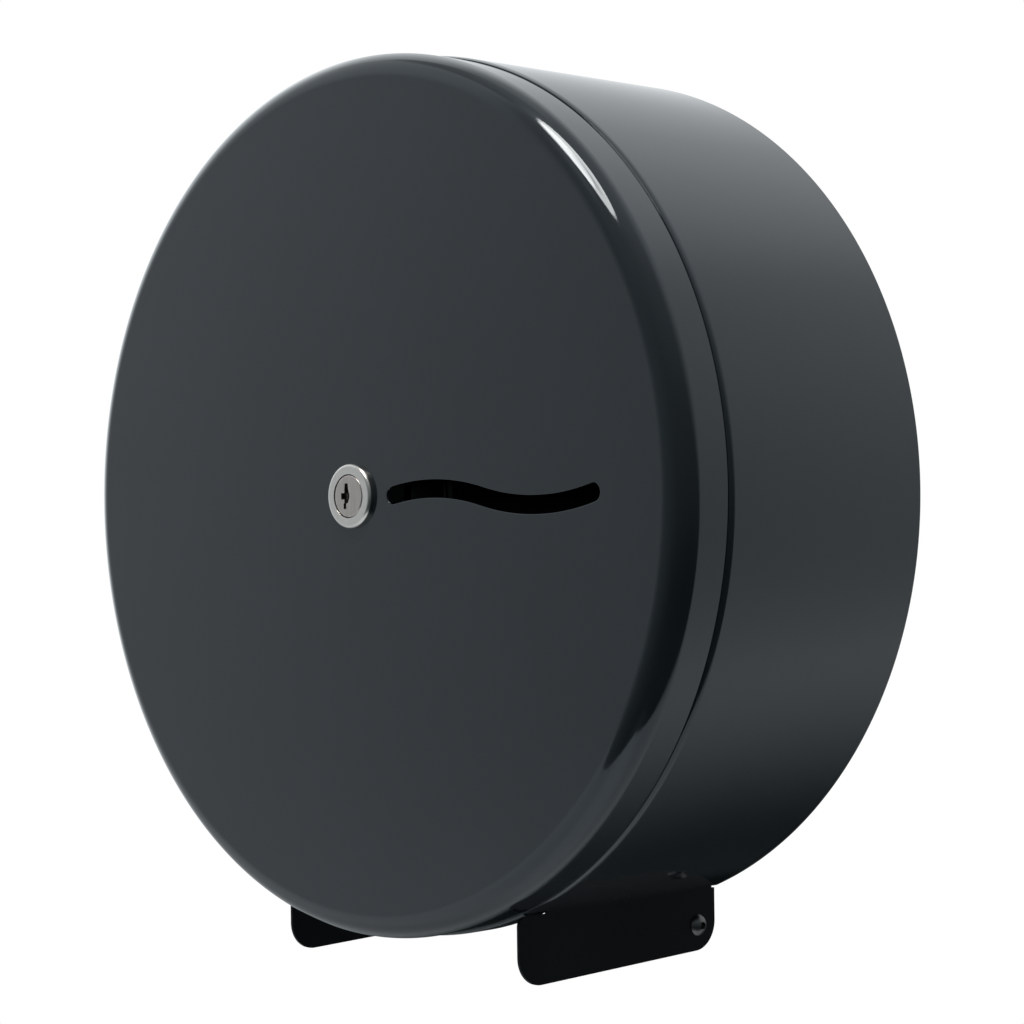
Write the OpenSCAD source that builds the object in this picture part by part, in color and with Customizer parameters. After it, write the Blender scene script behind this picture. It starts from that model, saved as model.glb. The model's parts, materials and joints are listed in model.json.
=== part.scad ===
// Wall dispenser for one jumbo toilet roll.
// A round steel cover swings forward and down on two screws at the foot of a back plate.
// The roll hangs on a hub that turns on a fixed spindle, and the paper leaves between two tear plates.
// Units are millimetres. The wall is the plane Y = 0, the object stands out towards -Y, and Z is up.

/* [Cover] */
// Outside diameter of the front lid
lid_d = 300; // [270:1:330]
// Distance from the wall to the lid's face
cover_depth = 116.5; // [110:0.5:135]
// Depth of the lid from its face back to the seam
lid_depth = 21.1; // [18:0.1:28]
// Outside radius of the lid's rounded edge
lid_edge_r = 8.5; // [6:0.5:11]
// Sheet thickness of the lid
lid_t = 0.8; // [0.6:0.1:1.2]
// Length of the lid's skirt that is held inside the drum
lid_nest = 9.2; // [5:0.1:11]
// Sheet thickness of the drum
drum_t = 0.8; // [0.6:0.1:1.2]
// Radius of the drum's curve in towards the seam
drum_curve_r = 12; // [11.5:0.5:20]
// Length over which the drum curves in at the seam
drum_curve_len = 3.6; // [2:0.1:3.6]
// Gap between the drum's rear edge and the wall
drum_wall_gap = 0.5; // [0.3:0.1:1]
// Paint gap between sheets that lie on each other
sheet_gap = 0.05; // [0.02:0.01:0.1]

/* [Wavy window slot] */
// Width of the slot
slot_w = 6; // [5:0.1:8]
// Radius of the slot's two arcs along their middle
slot_r = 97; // [85:1:110]
// Distance of the crest from the lock's axis
slot_crest_x = 39.5; // [37:0.5:45]
// Height of the crest above the lock's axis
slot_crest_y = 1.8; // [0:0.1:4]
// Turn of the left arc before the crest, in degrees
slot_left_turn = 11.2; // [9:0.1:12]
// Turn of each arc between its top and the middle of the wave, in degrees
slot_tilt = 14.3; // [11:0.1:16]
// Turn of the right arc after the trough, in degrees
slot_right_turn = 15.2; // [11:0.1:17]

/* [Tear plates and paper exit] */
// Clear width between the two tear plates
exit_w = 115.6; // [96:0.1:125]
// Sheet thickness of the tear plates
blade_t = 1; // [0.8:0.1:1.5]
// Gap between the tear plates' rear edge and the wall
blade_wall_gap = 1.1; // [0.8:0.1:1.5]
// Distance of the tear plates' front edge behind the lid's face
blade_setback = 18.7; // [15:0.1:24]
// Depth of the tear plates below the lid at the wall
blade_drop_rear = 10.4; // [9:0.1:12]
// Depth of the tear plates below the lid at the front
blade_drop_front = 12.9; // [12:0.1:16]
// Radius of the tear plates' lower corners
blade_corner_r = 10; // [9:0.5:12]
// Radius of the tear plates' upper front corner
blade_top_r = 3; // [1:0.5:5]
// Inside radius of the bend between tear plate and weld flange
blade_bend_r = 0.6; // [0.4:0.1:1]
// Width of the weld flange inside the drum
weld_flange_w = 15; // [10:1:20]
// Distance of the weld flange from the tear plate's rear edge
weld_flange_inset = 1.5; // [1:0.5:4]

/* [Hinge] */
// Distance of the hinge axis from the tear plates' rear and lower edges
hinge_edge = 8.6; // [8:0.1:9.5]
// Diameter of the hinge screws
screw_d = 4; // [3.5:0.1:4.4]
// Diameter of the hinge screws' button heads
screw_head_d = 7.6; // [7:0.1:9]
// Height of the hinge screws' button heads
screw_head_h = 2.2; // [1.8:0.1:2.6]
// Width across flats of the hinge screws' hexagon sockets
screw_socket_af = 2.5; // [2:0.1:2.8]
// Depth of the hinge screws' hexagon sockets
screw_socket_depth = 1.3; // [1:0.1:1.6]
// Radial play between hinge screw and nylon bush
bush_play = 0.05; // [0.02:0.01:0.08]
// Outside diameter of the bush sleeve in the tear plate
bush_d = 6; // [5.6:0.1:6.6]
// Diameter of the bush flange
bush_flange_d = 9; // [8:0.1:11]
// Thickness of the bush flange
bush_flange_t = 0.5; // [0.4:0.1:1]
// Side play on each side of a turning piece
side_play = 0.1; // [0.05:0.05:0.2]
// Diameter of the washers under the nuts
washer_d = 9; // [8:0.5:11]
// Thickness of the washers
washer_t = 0.8; // [0.6:0.1:1]
// Width across flats of the hinge nuts
nut_af = 7; // [6.5:0.1:8]
// Height of the hinge nuts with their locking rings
nut_h = 5; // [4:0.1:6]

/* [Back plate] */
// Sheet thickness of the back plate
plate_t = 1.5; // [1.2:0.1:2]
// Gap between the back plate's rim and the drum
rim_gap = 4; // [3:0.5:6]
// Height of the rim in front of the wall
rim_h = 8; // [6:0.5:12]
// Inside radius of the rim's bend and of the ears' bends
plate_bend_r = 1.5; // [1:0.1:2]
// Height of the raised centre in front of the wall
centre_raise = 4; // [3.5:0.5:6]
// Diameter of the raised centre
centre_d = 120; // [112:1:130]
// Diameter of the stiffening bead along its middle
bead_d = 244; // [236:1:248]
// Width of the bead at its foot
bead_w = 14; // [10:1:16]
// Height of the bead
bead_h = 2.5; // [1.5:0.5:4]
// Width of the sloping sides of bead and raised centre
press_slope = 3; // [2:0.5:4]
// Diameter of the four wall screw holes
wall_hole_d = 6.5; // [5:0.5:8]
// Distance between the wall screw holes, across and up
wall_hole_pitch = 140; // [125:1:150]
// Radius of the hinge ears around their screws
ear_r = 7; // [6:0.1:7.5]
// Height of the hinge ears' roots above the hinge axis
ear_root = 12; // [8:0.5:14]
// Clearance around screws in the ears
screw_clearance = 0.15; // [0.1:0.05:0.3]

/* [Spindle] */
// Outside diameter of the spindle tube
post_d = 50; // [48:0.5:54]
// Wall thickness of the spindle tube
post_t = 1.5; // [1.2:0.1:2]
// Inside radius of the bend between spindle tube and flange
post_bend_r = 1; // [0.6:0.1:1.5]
// Diameter of the spindle's rear flange
post_flange_d = 84; // [80:1:90]
// Number of rivets that hold the spindle
rivet_count = 4; // [3:1:6]
// Diameter of the circle that the rivets stand on
rivet_circle_d = 68; // [67:0.5:70]
// Diameter of the rivets
rivet_d = 4.8; // [4:0.1:5]
// Diameter of the rivet heads
rivet_head_d = 8.5; // [7.5:0.1:9]
// Height of the rivet heads and tails
rivet_head_h = 1.8; // [1.2:0.1:2]
// Radial gap around the rivets in their holes
rivet_gap = 0.05; // [0.02:0.01:0.1]
// Thickness of the striker cap's sheet
striker_t = 1.5; // [1.2:0.1:2]
// Overhang of the striker cap past the spindle tube
striker_lip = 2; // [1.5:0.1:2.5]
// Depth of the striker cap's skirt inside the spindle tube
striker_skirt = 8; // [5:0.5:10]
// Width of the keyhole in the striker cap
striker_hole_w = 21; // [20.5:0.1:22]
// Reach of the keyhole below the spindle's axis
striker_hole_down = 15.5; // [15:0.1:17]
// Reach of the keyhole above the spindle's axis
striker_hole_up = 21.6; // [21:0.1:21.9]

/* [Roll hub] */
// Radial play between roll hub and spindle
hub_play = 0.08; // [0.04:0.01:0.1]
// Wall thickness of the roll hub
hub_t = 2.2; // [1.8:0.1:2.6]
// Height of the ribs along the roll hub
hub_rib_h = 1.6; // [1:0.1:2.4]
// Width of the ribs along the roll hub
hub_rib_w = 3; // [2:0.5:4]
// Number of ribs around the roll hub
hub_rib_count = 8; // [6:1:12]
// Diameter of the disc that the roll rests against
hub_stop_d = 92; // [80:1:100]
// Thickness of that disc
hub_stop_t = 2; // [1.5:0.1:3]
// Gap between the rivet heads and that disc
hub_stop_gap = 1; // [0.6:0.1:2]
// End play of the roll hub on the spindle
hub_end_play = 0.3; // [0.2:0.1:0.6]
// Chamfer on the roll hub's front end
hub_chamfer = 1.2; // [0.8:0.1:1.6]

/* [Lock] */
// Diameter of the lock's head
lock_head_d = 22; // [21:0.5:24]
// Height of the lock's head in front of the lid
lock_head_h = 2.1; // [2:0.1:3.5]
// Width of the bevel around the lock's head
lock_bevel = 0.8; // [0.4:0.1:1.2]
// Width of the inner bevel down to the plug
lock_inner_bevel = 0.8; // [0.4:0.1:1]
// Diameter of the lock's barrel
barrel_d = 19; // [18:0.1:19.2]
// Width across the barrel's two flats
barrel_flats = 16.5; // [16:0.1:17.5]
// Length of the barrel behind the lid's face
barrel_len = 20; // [18:0.5:24]
// Clearance around the barrel in the lid
barrel_gap = 0.15; // [0.1:0.05:0.3]
// Diameter of the lock's plug
plug_d = 14.8; // [14:0.1:15.2]
// Radial play of the plug in the barrel
plug_play = 0.05; // [0.02:0.01:0.08]
// Distance of the plug's face below the head's rim
plug_recess = 0.4; // [0.3:0.1:1]
// Width of the bevel around the plug's face
plug_bevel = 0.9; // [0.4:0.1:1.2]
// Height of that bevel
plug_bevel_h = 0.5; // [0.3:0.1:0.8]
// Height of the key slot
key_slot_h = 8.8; // [8:0.1:9.2]
// Place of the key slot's blade to the right of the plug's axis
key_slot_x = -0.9; // [-1:0.1:0]
// Width of the key slot
key_slot_w = 1.7; // [1.4:0.1:1.8]
// Depth of the key slot
key_slot_depth = 16; // [14:0.5:17]
// Number of wafers in the plug
wafer_count = 5; // [4:1:6]
// Thickness of the wafers
wafer_t = 1; // [0.8:0.1:1.2]
// Width of the wafers
wafer_w = 6; // [5.6:0.1:6.4]
// Height of the wafers
wafer_h = 13; // [12:0.1:13.2]
// Gap around the wafers in the plug
wafer_gap = 0.05; // [0.02:0.01:0.08]
// Reach of the cam from the lock's axis
cam_reach = 17.5; // [16:0.1:20]
// Width of the cam's arm
cam_w = 12; // [10:0.5:13]
// Thickness of the cam
cam_t = 2.5; // [2:0.1:3]
// Gap between the cam and the striker cap when locked
cam_gap = 0.8; // [0.4:0.1:1]
// Width across flats of the plug's tail
tail_af = 7; // [6.5:0.1:8]
// Diameter of the plug's tail
tail_d = 9; // [8.5:0.1:10]
// Diameter of the screw that holds the cam
cam_screw_d = 5; // [4:0.1:5.5]
// Diameter of that screw's head
cam_screw_head_d = 9; // [8:0.1:10]
// Height of that screw's head
cam_screw_head_h = 2.6; // [2:0.1:3]
// Depth of that screw's hole in the plug
cam_hole_depth = 7; // [6:0.5:9]
// Diameter of the washer on the cam
cam_washer_d = 12; // [11:0.5:14]
// Width across flats of the lock nut
lock_nut_af = 24; // [22.5:0.1:26]
// Height of the lock nut
lock_nut_h = 3; // [2.5:0.1:4]

/* [Hidden] */
$fn = 96;

graphite = "#3b4043";
graphite_dark = "#23272a";
dark_paint = "#1c1e20";
nickel = "#c4c4c0";
zinc = "#9b9c9a";
nylon = "#1c1d1e";
hub_black = "#1e1f20";

cut = 1; // length by which every cutter passes the face it opens

// Cover
lid_r = lid_d / 2;
seam_z = cover_depth - lid_depth;
skirt_end_z = seam_z - lid_nest;
slot_end_lap = 0.3; // the slot's end circles sit this far past its arcs, so that the outlines cross
drum_in_r = lid_r + sheet_gap;
drum_out_r = drum_in_r + drum_t;

// Tear plates, seen in the plane across the wall: u is the distance from the wall, v the height
blade_in = exit_w / 2;
blade_out = blade_in + blade_t;
blade_rear = blade_wall_gap;
blade_front = cover_depth - blade_setback;
blade_slope = atan((blade_drop_front - blade_drop_rear) / (blade_front - blade_rear));
blade_top = -sqrt(pow(drum_out_r + sheet_gap, 2) - pow(blade_in, 2)) - sheet_gap;
flange_out_r = drum_in_r - sheet_gap;
flange_in_r = flange_out_r - blade_t;
flange_start_u = blade_rear + weld_flange_inset;
exit_end_u = skirt_end_z - weld_flange_inset;
exit_half = blade_out + blade_bend_r;
bend_orbit_r = flange_out_r + blade_bend_r;
bend_angle = asin(exit_half / bend_orbit_r);
bend_c = bend_orbit_r * [sin(bend_angle), -cos(bend_angle)];
flange_angle = weld_flange_w / flange_out_r * 180 / PI;

// Hinge axis
hinge_u = blade_rear + hinge_edge;
hinge_v = -(lid_r + blade_drop_rear - hinge_edge);
ear_out = blade_in - bush_flange_t - side_play;
ear_in = ear_out - plate_t;
washer_in = ear_in - washer_t;
nut_in = washer_in - nut_h;
screw_tail = 1; // length of the hinge screws past their nuts
screw_tip_gap = 1; // gap between the cam screw's tip and the end of its hole

// Back plate
rim_r = drum_in_r - rim_gap;
rim_bend = plate_bend_r + plate_t;
flat_r = rim_r - rim_bend;
bead_r = bead_d / 2;
rim_notch = 2 * (blade_out + weld_flange_w + 3);

// Spindle
post_r = post_d / 2;
post_bore_r = post_r - post_t;
post_foot_z = centre_raise + plate_t;
cam_front_z = cover_depth - barrel_len - side_play;
striker_z = cam_front_z + cam_gap;
rivet_top_z = post_foot_z + post_t + rivet_head_h;

// Roll hub
hub_bore_r = post_r + hub_play;
hub_r = hub_bore_r + hub_t;
hub_rear_z = post_foot_z + post_t + post_bend_r + hub_end_play;
hub_front_z = striker_z - hub_end_play;
hub_stop_z = rivet_top_z + hub_stop_gap;

// Lock
head_top_z = cover_depth + lock_head_h;
barrel_end_z = cover_depth - barrel_len;
plug_face_z = head_top_z - plug_recess;
cam_rear_z = cam_front_z - cam_t;
cam_washer_rear_z = cam_rear_z - washer_t;

// The wall frame: x to the right, y up, z out from the wall
module on_wall() {
    rotate([90, 0, 0]) children();
}

// A frame on the hinge axis with its z axis pointing out to one side
module on_hinge(side) {
    on_wall() translate([0, hinge_v, hinge_u]) rotate([0, 90 * side, 0]) children();
}

module ring(r_out, r_in) {
    difference() {
        circle(r_out);
        circle(r_in);
    }
}

// A ring's part between two angles less than 180 degrees apart
module ring_sector(r_out, r_in, from, to) {
    reach = 2 * r_out;
    mid = (from + to) / 2;
    intersection() {
        ring(r_out, r_in);
        polygon([
            [0, 0],
            reach * [cos(from), sin(from)],
            2 * reach * [cos(mid), sin(mid)],
            reach * [cos(to), sin(to)]
        ]);
    }
}

// Half a disc, to the right of the y axis
module half_disc(r) {
    intersection() {
        circle(r);
        translate([0, -r]) square([r, 2 * r]);
    }
}

// Points along an arc
function arc(centre, r, from, to, steps) =
    [for (i = [0:steps]) let (a = from + (to - from) * i / steps) centre + r * [cos(a), sin(a)]];

module disc(r, h) {
    cylinder(r = r, h = h);
}

// ---------- back plate ----------

// Half section of the pressed plate: raised centre, flat with a bead, and a rim bent forward
module back_plate_section() {
    c = centre_d / 2;
    b = bead_r;
    h = bead_w / 2;
    wall_side = [
        [0, centre_raise], [c - press_slope, centre_raise], [c, 0],
        [b - h, 0], [b - h + press_slope, bead_h], [b + h - press_slope, bead_h], [b + h, 0],
        [flat_r, 0]
    ];
    last = len(wall_side) - 1;
    room_side = [for (i = [last:-1:0]) wall_side[i] + [0, plate_t]];
    polygon(concat(wall_side, room_side));
    translate([flat_r, rim_bend]) ring_sector(rim_bend, plate_bend_r, -90, 0);
    translate([rim_r - plate_t, rim_bend]) square([plate_t, rim_h - rim_bend]);
}

module wall_holes() {
    for (x = [-1, 1], y = [-1, 1])
        translate([x * wall_hole_pitch / 2, y * wall_hole_pitch / 2, -cut])
            disc(wall_hole_d / 2, plate_t + 2 * cut);
}

module on_rivets() {
    for (i = [0:rivet_count - 1])
        rotate([0, 0, (i + 0.5) * 360 / rivet_count]) translate([rivet_circle_d / 2, 0, 0]) children();
}

module rivet_holes(z, h) {
    on_rivets() translate([0, 0, z - cut]) disc(rivet_d / 2 + rivet_gap, h + 2 * cut);
}

// The tongue that reaches down between the tear plates
module tongue() {
    half = ear_out - rim_bend;
    linear_extrude(plate_t) difference() {
        translate([-half, hinge_v]) square([2 * half, -hinge_v]);
        circle(flat_r - 2 * plate_t);
    }
}

// Cross-section of one ear: a strip of the tongue, a bend, and the ear's upright
module ear_section() {
    upright = hinge_u + ear_r;
    translate([ear_out - rim_bend, rim_bend]) {
        ring_sector(rim_bend, plate_bend_r, -90, 0);
        translate([-ear_root, -rim_bend]) square([ear_root, plate_t]);
        translate([plate_bend_r, 0]) square([plate_t, upright]);
    }
}

// One ear: its cross-section, cut to a rounded lug with the screw hole
module hinge_ear() {
    intersection() {
        translate([0, hinge_v + ear_root + cut, 0]) rotate([90, 0, 0])
            linear_extrude(ear_root + ear_r + 2 * cut) ear_section();
        translate([0, hinge_v, 0]) rotate([0, 90, 0]) linear_extrude(ear_out + cut) difference() {
            union() {
                polygon([[cut, 0], [cut, ear_root], [-rim_bend, ear_root], [-hinge_u, ear_r], [-hinge_u, 0]]);
                translate([-hinge_u, 0]) circle(ear_r);
            }
            translate([-hinge_u, 0]) circle(screw_d / 2 + screw_clearance);
        }
    }
}

module back_plate() {
    color(graphite_dark) on_wall() difference() {
        union() {
            difference() {
                rotate_extrude() back_plate_section();
                translate([-rim_notch / 2, -2 * rim_r, -cut]) difference() {
                    cube([rim_notch, 2 * rim_r, rim_h + 2 * cut]);
                    translate([rim_notch / 2, 2 * rim_r, -cut]) disc(flat_r, rim_h + 4 * cut);
                }
            }
            tongue();
            hinge_ear();
            mirror([1, 0, 0]) hinge_ear();
        }
        wall_holes();
        rivet_holes(centre_raise, plate_t);
    }
}

// ---------- spindle ----------

module spindle_post() {
    bend = post_bend_r + post_t;
    color(dark_paint) on_wall() difference() {
        translate([0, 0, post_foot_z]) rotate_extrude() {
            translate([post_bore_r, bend]) square([post_t, striker_z - post_foot_z - bend]);
            translate([post_bore_r + bend, bend]) ring_sector(bend, post_bend_r, 180, 270);
            translate([post_bore_r + bend, 0]) square([post_flange_d / 2 - post_bore_r - bend, post_t]);
        }
        rivet_holes(post_foot_z, post_t);
    }
}

// A low dome: the cap of a ball that is head_d wide and h high
module dome(head_d, h) {
    ball_r = (pow(head_d / 2, 2) + h * h) / (2 * h);
    rotate_extrude() intersection() {
        translate([0, h - ball_r]) circle(ball_r);
        square([head_d, h]);
    }
}

module spindle_rivets() {
    grip = plate_t + post_t;
    color(dark_paint) on_wall() on_rivets() translate([0, 0, centre_raise]) {
        disc(rivet_d / 2, grip);
        translate([0, 0, grip]) dome(rivet_head_d, rivet_head_h);
        mirror([0, 0, 1]) disc(rivet_d * 0.75, rivet_head_h);
    }
}

// The keyhole: a slot with round ends that lets the cam through when it points up
module striker_hole() {
    r = striker_hole_w / 2;
    low = -striker_hole_down + r;
    high = striker_hole_up - r;
    translate([0, low]) circle(r);
    translate([0, high]) circle(r);
    translate([-r, low]) square([striker_hole_w, high - low]);
}

module striker_cap() {
    skirt_out = post_bore_r - sheet_gap;
    edge_r = post_r + striker_lip - striker_t / 2;
    color(dark_paint) on_wall() translate([0, 0, striker_z]) difference() {
        rotate_extrude() {
            square([edge_r, striker_t]);
            translate([edge_r, striker_t / 2]) half_disc(striker_t / 2);
            translate([skirt_out - striker_t, -striker_skirt]) square([striker_t, striker_skirt]);
        }
        translate([0, 0, -cut]) linear_extrude(striker_t + 2 * cut) striker_hole();
    }
}

// ---------- roll hub ----------

module roll_hub_section() {
    translate([hub_bore_r, hub_rear_z]) square([hub_t, hub_front_z - hub_rear_z - hub_chamfer]);
    translate([0, hub_front_z - hub_chamfer]) polygon([
        [hub_bore_r, 0], [hub_r, 0], [hub_r - hub_chamfer, hub_chamfer], [hub_bore_r, hub_chamfer]
    ]);
    stop_r = hub_stop_d / 2 - hub_stop_t / 2;
    translate([hub_r, hub_stop_z]) square([stop_r - hub_r, hub_stop_t]);
    translate([stop_r, hub_stop_z]) polygon([
        [0, 0], [hub_stop_t / 2, hub_stop_t / 4], [hub_stop_t / 2, 3 * hub_stop_t / 4], [0, hub_stop_t]
    ]);
}

// One rib with a sloped front end, along the hub and sunk a little into it
module hub_rib() {
    start = hub_stop_z + hub_stop_t;
    end = hub_front_z - 2 * hub_chamfer;
    sink = hub_t / 2;
    translate([0, hub_rib_w / 2, 0]) rotate([90, 0, 0]) linear_extrude(hub_rib_w) polygon([
        [hub_r - sink, start - hub_stop_t / 2], [hub_r + hub_rib_h, start - hub_stop_t / 2],
        [hub_r + hub_rib_h, end - 4 * hub_rib_h], [hub_r, end], [hub_r - sink, end]
    ]);
}

module roll_hub() {
    color(hub_black) on_wall() {
        rotate_extrude() roll_hub_section();
        for (i = [0:hub_rib_count - 1]) rotate([0, 0, i * 360 / hub_rib_count]) hub_rib();
    }
}

// ---------- cover ----------

// Half section of the lid: flat face, rounded edge and skirt
module front_lid_section() {
    flat = lid_r - lid_edge_r;
    skirt = cover_depth - lid_edge_r - skirt_end_z;
    translate([flat, cover_depth - lid_edge_r]) {
        ring_sector(lid_edge_r, lid_edge_r - lid_t, 0, 90);
        translate([-flat, lid_edge_r - lid_t]) square([flat, lid_t]);
        translate([lid_edge_r - lid_t, -skirt]) square([lid_t, skirt]);
    }
}

// The wavy slot: an arc over its crest, an arc through its trough, and round ends
module wavy_slot() {
    crest_c = [slot_crest_x, slot_crest_y - slot_r];
    middle = crest_c + slot_r * [sin(slot_tilt), cos(slot_tilt)];
    translate(middle) rotate(-slot_tilt) {
        slot_arm(slot_tilt + slot_left_turn);
        rotate(180) slot_arm(slot_tilt + slot_right_turn);
    }
}

// Half of the wave, from its middle to the left: an arc that bends down, with a round end
module slot_arm(turn) {
    translate([0, -slot_r]) {
        ring_sector(slot_r + slot_w / 2, slot_r - slot_w / 2, 90, 90 + turn);
        rotate(90 + turn) translate([slot_r, slot_end_lap]) circle(slot_w / 2);
    }
}

// The barrel's cross-section: a circle with two flats
module barrel_outline(gap) {
    intersection() {
        circle(barrel_d / 2 + gap);
        square([barrel_flats + 2 * gap, barrel_d + 2 * cut], center = true);
    }
}

module front_lid() {
    color(graphite) on_wall() difference() {
        rotate([0, 0, 180]) rotate_extrude() front_lid_section();
        translate([0, 0, cover_depth - lid_t - cut]) linear_extrude(lid_t + 2 * cut) {
            barrel_outline(barrel_gap);
            wavy_slot();
        }
    }
}

// Half section of the drum: a straight sheet whose outer side curves in towards the seam
module drum_section() {
    curve_z = seam_z - drum_curve_len;
    straight = curve_z - drum_wall_gap;
    translate([drum_out_r - drum_curve_r, curve_z]) {
        translate([drum_curve_r - drum_t, -straight]) square([drum_t, straight]);
        intersection() {
            circle(drum_curve_r);
            translate([drum_curve_r - drum_t, 0]) square([drum_t, drum_curve_len]);
        }
    }
}

module drum_shell() {
    color(graphite) on_wall() difference() {
        rotate_extrude() drum_section();
        translate([-exit_half, -2 * drum_out_r, -cut])
            cube([2 * exit_half, 2 * drum_out_r, exit_end_u + weld_flange_inset / 2 + cut]);
    }
}

// Side outline of a tear plate, with u along x and v along y
module blade_outline() {
    r = blade_corner_r;
    rise = r / cos(blade_slope);
    normal = [-sin(blade_slope), -cos(blade_slope)];
    top = blade_top + lid_r + blade_drop_rear;
    above = top + 2 * weld_flange_w;
    front_u = blade_front - r;
    rear_c = [blade_rear + r, rise - tan(blade_slope) * r];
    front_c = [front_u, rise - tan(blade_slope) * (front_u - blade_rear)];
    translate([0, -lid_r - blade_drop_rear]) {
        polygon([
            [blade_rear, top], [blade_rear, rear_c[1]], rear_c + r * normal,
            front_c + r * normal, [blade_front, front_c[1]],
            [blade_front, top - blade_top_r], [blade_front - blade_top_r, top],
            [exit_end_u, top], [exit_end_u, above], [flange_start_u, above], [flange_start_u, top]
        ]);
        translate(rear_c) circle(r);
        translate(front_c) circle(r);
        translate([blade_front - blade_top_r, top - blade_top_r]) circle(blade_top_r);
    }
}

// Cross-section of a tear plate: blade, bend and weld flange along the drum's inside
module blade_section() {
    foot = lid_r + blade_drop_front + cut;
    from = bend_angle - 90;
    to = from + flange_angle;
    turn = 90 + bend_angle;
    polygon(concat(
        [[blade_out, -foot], [blade_in, -foot]],
        arc(bend_c, blade_bend_r + blade_t, 180, turn, 8),
        arc([0, 0], flange_in_r, from, to, 8),
        arc([0, 0], flange_out_r, to, from, 8),
        arc(bend_c, blade_bend_r, turn, 180, 8)
    ));
}

module tear_plate() {
    reach = blade_out + 2 * weld_flange_w;
    color(graphite_dark) on_wall() difference() {
        intersection() {
            linear_extrude(blade_front) blade_section();
            rotate([0, -90, 0]) mirror([0, 0, 1]) linear_extrude(reach) blade_outline();
        }
        translate([0, hinge_v, hinge_u]) rotate([0, 90, 0]) disc(bush_d / 2 + sheet_gap, reach);
    }
}

module tear_plate_right() {
    tear_plate();
}

module tear_plate_left() {
    mirror([1, 0, 0]) tear_plate();
}

// ---------- hinge ----------

module hinge_bushes() {
    flange_z = blade_in - bush_flange_t;
    color(nylon) for (side = [-1, 1]) on_hinge(side) difference() {
        union() {
            translate([0, 0, flange_z]) disc(bush_flange_d / 2, bush_flange_t);
            translate([0, 0, flange_z]) disc(bush_d / 2, bush_flange_t + blade_t);
        }
        translate([0, 0, flange_z - cut]) disc(screw_d / 2 + bush_play, bush_flange_t + blade_t + 2 * cut);
    }
}

module hinge_screws() {
    head_z = blade_out + side_play;
    tail_z = nut_in - screw_tail;
    color(graphite_dark) for (side = [-1, 1]) on_hinge(side) difference() {
        union() {
            translate([0, 0, tail_z]) disc(screw_d / 2, head_z - tail_z);
            translate([0, 0, head_z]) dome(screw_head_d, screw_head_h);
        }
        translate([0, 0, head_z + screw_head_h - screw_socket_depth])
            cylinder(d = screw_socket_af / cos(30), h = screw_socket_depth + cut, $fn = 6);
    }
}

module hinge_washers() {
    color(zinc) for (side = [-1, 1]) on_hinge(side) difference() {
        translate([0, 0, washer_in]) disc(washer_d / 2, washer_t);
        translate([0, 0, washer_in - cut]) disc(screw_d / 2 + screw_clearance, washer_t + 2 * cut);
    }
}

// Hexagon nuts with a round locking ring on the inner end
module hinge_nuts() {
    ring_h = nut_h / 3;
    color(zinc) for (side = [-1, 1]) on_hinge(side) difference() {
        union() {
            translate([0, 0, nut_in + ring_h])
                cylinder(d = nut_af / cos(30), h = nut_h - ring_h, $fn = 6);
            translate([0, 0, nut_in]) disc(0.46 * nut_af, nut_h);
        }
        translate([0, 0, nut_in - cut]) disc(screw_d / 2 + sheet_gap, nut_h + 2 * cut);
    }
}

// ---------- lock ----------

// Half section of the head: flat rim with a bevel outside and one down to the plug
module lock_head_section() {
    r = lock_head_d / 2;
    bore = plug_d / 2 + plug_play;
    polygon([
        [bore, 0], [r, 0], [r, lock_head_h - lock_bevel], [r - lock_bevel, lock_head_h],
        [bore + lock_inner_bevel, lock_head_h], [bore, lock_head_h - lock_inner_bevel]
    ]);
}

module lock_barrel() {
    color(nickel) on_wall() {
        translate([0, 0, cover_depth]) rotate_extrude() lock_head_section();
        translate([0, 0, barrel_end_z]) linear_extrude(barrel_len) difference() {
            barrel_outline(0);
            circle(plug_d / 2 + plug_play);
        }
    }
}

module lock_nut() {
    color(zinc) on_wall() translate([0, 0, cover_depth - lid_t - lock_nut_h]) difference() {
        cylinder(d = lock_nut_af / cos(30), h = lock_nut_h, $fn = 6);
        translate([0, 0, -cut]) disc(barrel_d / 2 + sheet_gap, lock_nut_h + 2 * cut);
    }
}

// The key's path: an upright slot that steps to the left at its lower end, with a groove on its left side
module key_slot() {
    h = key_slot_h / 2;
    w = key_slot_w;
    left = -0.65 * w;
    foot = -0.1 * w;
    translate([key_slot_x, 0]) polygon([
        [-w / 2, h], [0.4 * w, h], [0.55 * w, h / 2], [0.9 * w, h / 8], [0.9 * w, -h / 8], [0.45 * w, -h / 2],
        [foot, -0.6 * h], [foot, -h], [-0.9 * w, -h], [-0.9 * w, -0.6 * h], [left, -h / 2],
        [left, -h / 4], [left - w, -h / 4], [left - w, h / 4], [left, h / 4], [left, h / 2]
    ]);
}

// The plug's tail that drives the cam: round with two flats
module tail_outline(gap) {
    intersection() {
        circle(tail_d / 2 + gap);
        square([tail_af + 2 * gap, tail_d + 2 * cut], center = true);
    }
}

module on_wafers() {
    first = plug_face_z - lock_head_h - 2 * wafer_t;
    for (i = [0:wafer_count - 1]) translate([0, 0, first - i * 2 * wafer_t]) children();
}

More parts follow.
